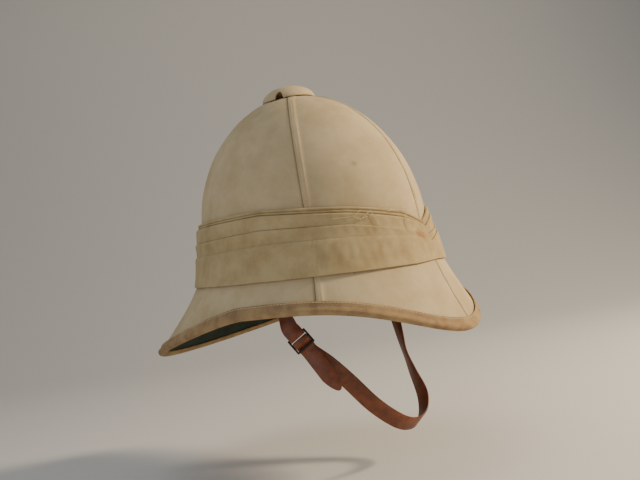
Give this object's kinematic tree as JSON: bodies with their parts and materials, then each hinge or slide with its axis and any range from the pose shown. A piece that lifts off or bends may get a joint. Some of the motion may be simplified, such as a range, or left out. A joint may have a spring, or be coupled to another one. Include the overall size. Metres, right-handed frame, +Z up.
{
  "type": "pith helmet",
  "caption": "Foreign-service pith helmet with panelled cloth cover, wound pugaree, vent button, bound sloping brim and a buckled leather chin strap",
  "frame": {"origin": "centre of the head opening, level with the lower edge of the wound band", "axes": "+X to the wearer's left, -Y out of the front peak, +Z up through the ventilator button"},
  "size_m": [0.2642, 0.3509, 0.35],
  "materials": {
    "pressed_pith": "matt pressed pith faced with cloth",
    "khaki_drill": "worn khaki cotton drill",
    "pugaree_muslin": "faded cotton muslin",
    "binding_tape": "soiled cotton binding",
    "green_lining": "dark green cotton",
    "brown_leather": "worn brown leather",
    "black_buckle": "black japanned metal"
  },
  "bodies": {
    "root": {"pith_shell": "pressed_pith", "cover_panel_1": "khaki_drill", "cover_panel_2": "khaki_drill", "cover_panel_3": "khaki_drill", "cover_panel_4": "khaki_drill", "cover_panel_5": "khaki_drill", "cover_panel_6": "khaki_drill", "ventilator_cap": "khaki_drill", "pugaree_top_roll": "pugaree_muslin", "pugaree_fold_upper": "pugaree_muslin", "pugaree_fold_middle": "pugaree_muslin", "pugaree_fold_lower": "pugaree_muslin", "brim_binding": "binding_tape", "brim_lining": "green_lining", "chin_strap_short": "brown_leather", "chin_strap_long": "brown_leather", "strap_buckle": "black_buckle"}
  },
  "joints": []
}
